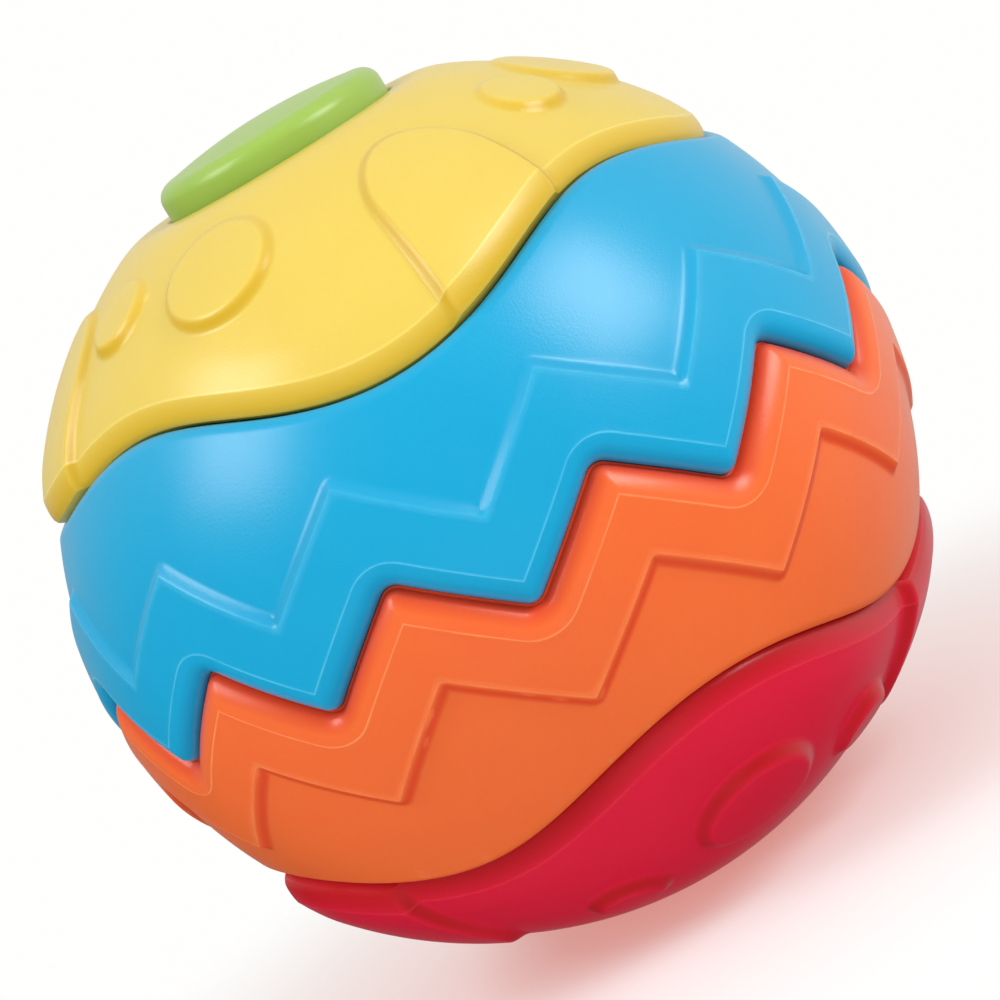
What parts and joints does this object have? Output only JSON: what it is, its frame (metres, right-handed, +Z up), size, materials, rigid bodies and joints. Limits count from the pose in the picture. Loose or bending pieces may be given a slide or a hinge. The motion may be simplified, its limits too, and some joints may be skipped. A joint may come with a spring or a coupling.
{
  "type": "stacking puzzle ball",
  "caption": "Ball-shaped take-apart puzzle: rings with wavy and zigzag seams lift off a round base, under a dome with a press button that works a squeaker.",
  "frame": {"origin": "centre of the base's flat, on the stacking axis", "axes": "+Z up the stacking axis towards the push button; -Y towards the side where the upper wavy seam dips at azimuth 0"},
  "size_m": [0.1398, 0.1398, 0.1393],
  "materials": {
    "yellow_plastic": "satin moulded, fine grain",
    "blue_plastic": "satin moulded, fine grain",
    "orange_plastic": "satin moulded, fine grain",
    "red_plastic": "satin moulded, fine grain",
    "green_plastic": "satin moulded, fine grain",
    "ivory_soft_plastic": "soft matt",
    "zinc_steel": "zinc plated"
  },
  "bodies": {
    "base": {"base_shell": "red_plastic", "base_deck": "red_plastic", "base_screw_1": "zinc_steel", "base_screw_2": "zinc_steel", "base_screw_3": "zinc_steel", "base_screw_4": "zinc_steel"},
    "lower_ring": {"lower_ring_shell": "orange_plastic", "lower_ring_deck": "orange_plastic", "lower_ring_screw_1": "zinc_steel", "lower_ring_screw_2": "zinc_steel", "lower_ring_screw_3": "zinc_steel", "lower_ring_screw_4": "zinc_steel"},
    "upper_ring": {"upper_ring_shell": "blue_plastic", "upper_ring_deck": "blue_plastic", "upper_ring_screw_1": "zinc_steel", "upper_ring_screw_2": "zinc_steel", "upper_ring_screw_3": "zinc_steel", "upper_ring_screw_4": "zinc_steel"},
    "dome": {"dome_shell": "yellow_plastic", "dome_deck": "yellow_plastic", "squeaker_bellows": "ivory_soft_plastic", "squeaker_reed": "ivory_soft_plastic", "dome_screw_1": "zinc_steel", "dome_screw_2": "zinc_steel", "dome_screw_3": "zinc_steel", "dome_screw_4": "zinc_steel"},
    "button": {"button_cap": "green_plastic"}
  },
  "joints": [
    {"name": "lower_ring_lift", "type": "slide", "parent": "base", "child": "lower_ring", "axis": [0, 0, 1], "range_m": [0, 0.04]},
    {"name": "upper_ring_lift", "type": "slide", "parent": "lower_ring", "child": "upper_ring", "axis": [0, 0, 1], "range_m": [0, 0.04]},
    {"name": "dome_lift", "type": "slide", "parent": "upper_ring", "child": "dome", "axis": [0, 0, 1], "range_m": [0, 0.04]},
    {"name": "button_press", "type": "slide", "parent": "dome", "child": "button", "axis": [0, 0, -1], "range_m": [0, 0.003], "stiffness_N_per_m": 600, "springref_m": -0.001, "deforming": ["squeaker_bellows"]}
  ]
}
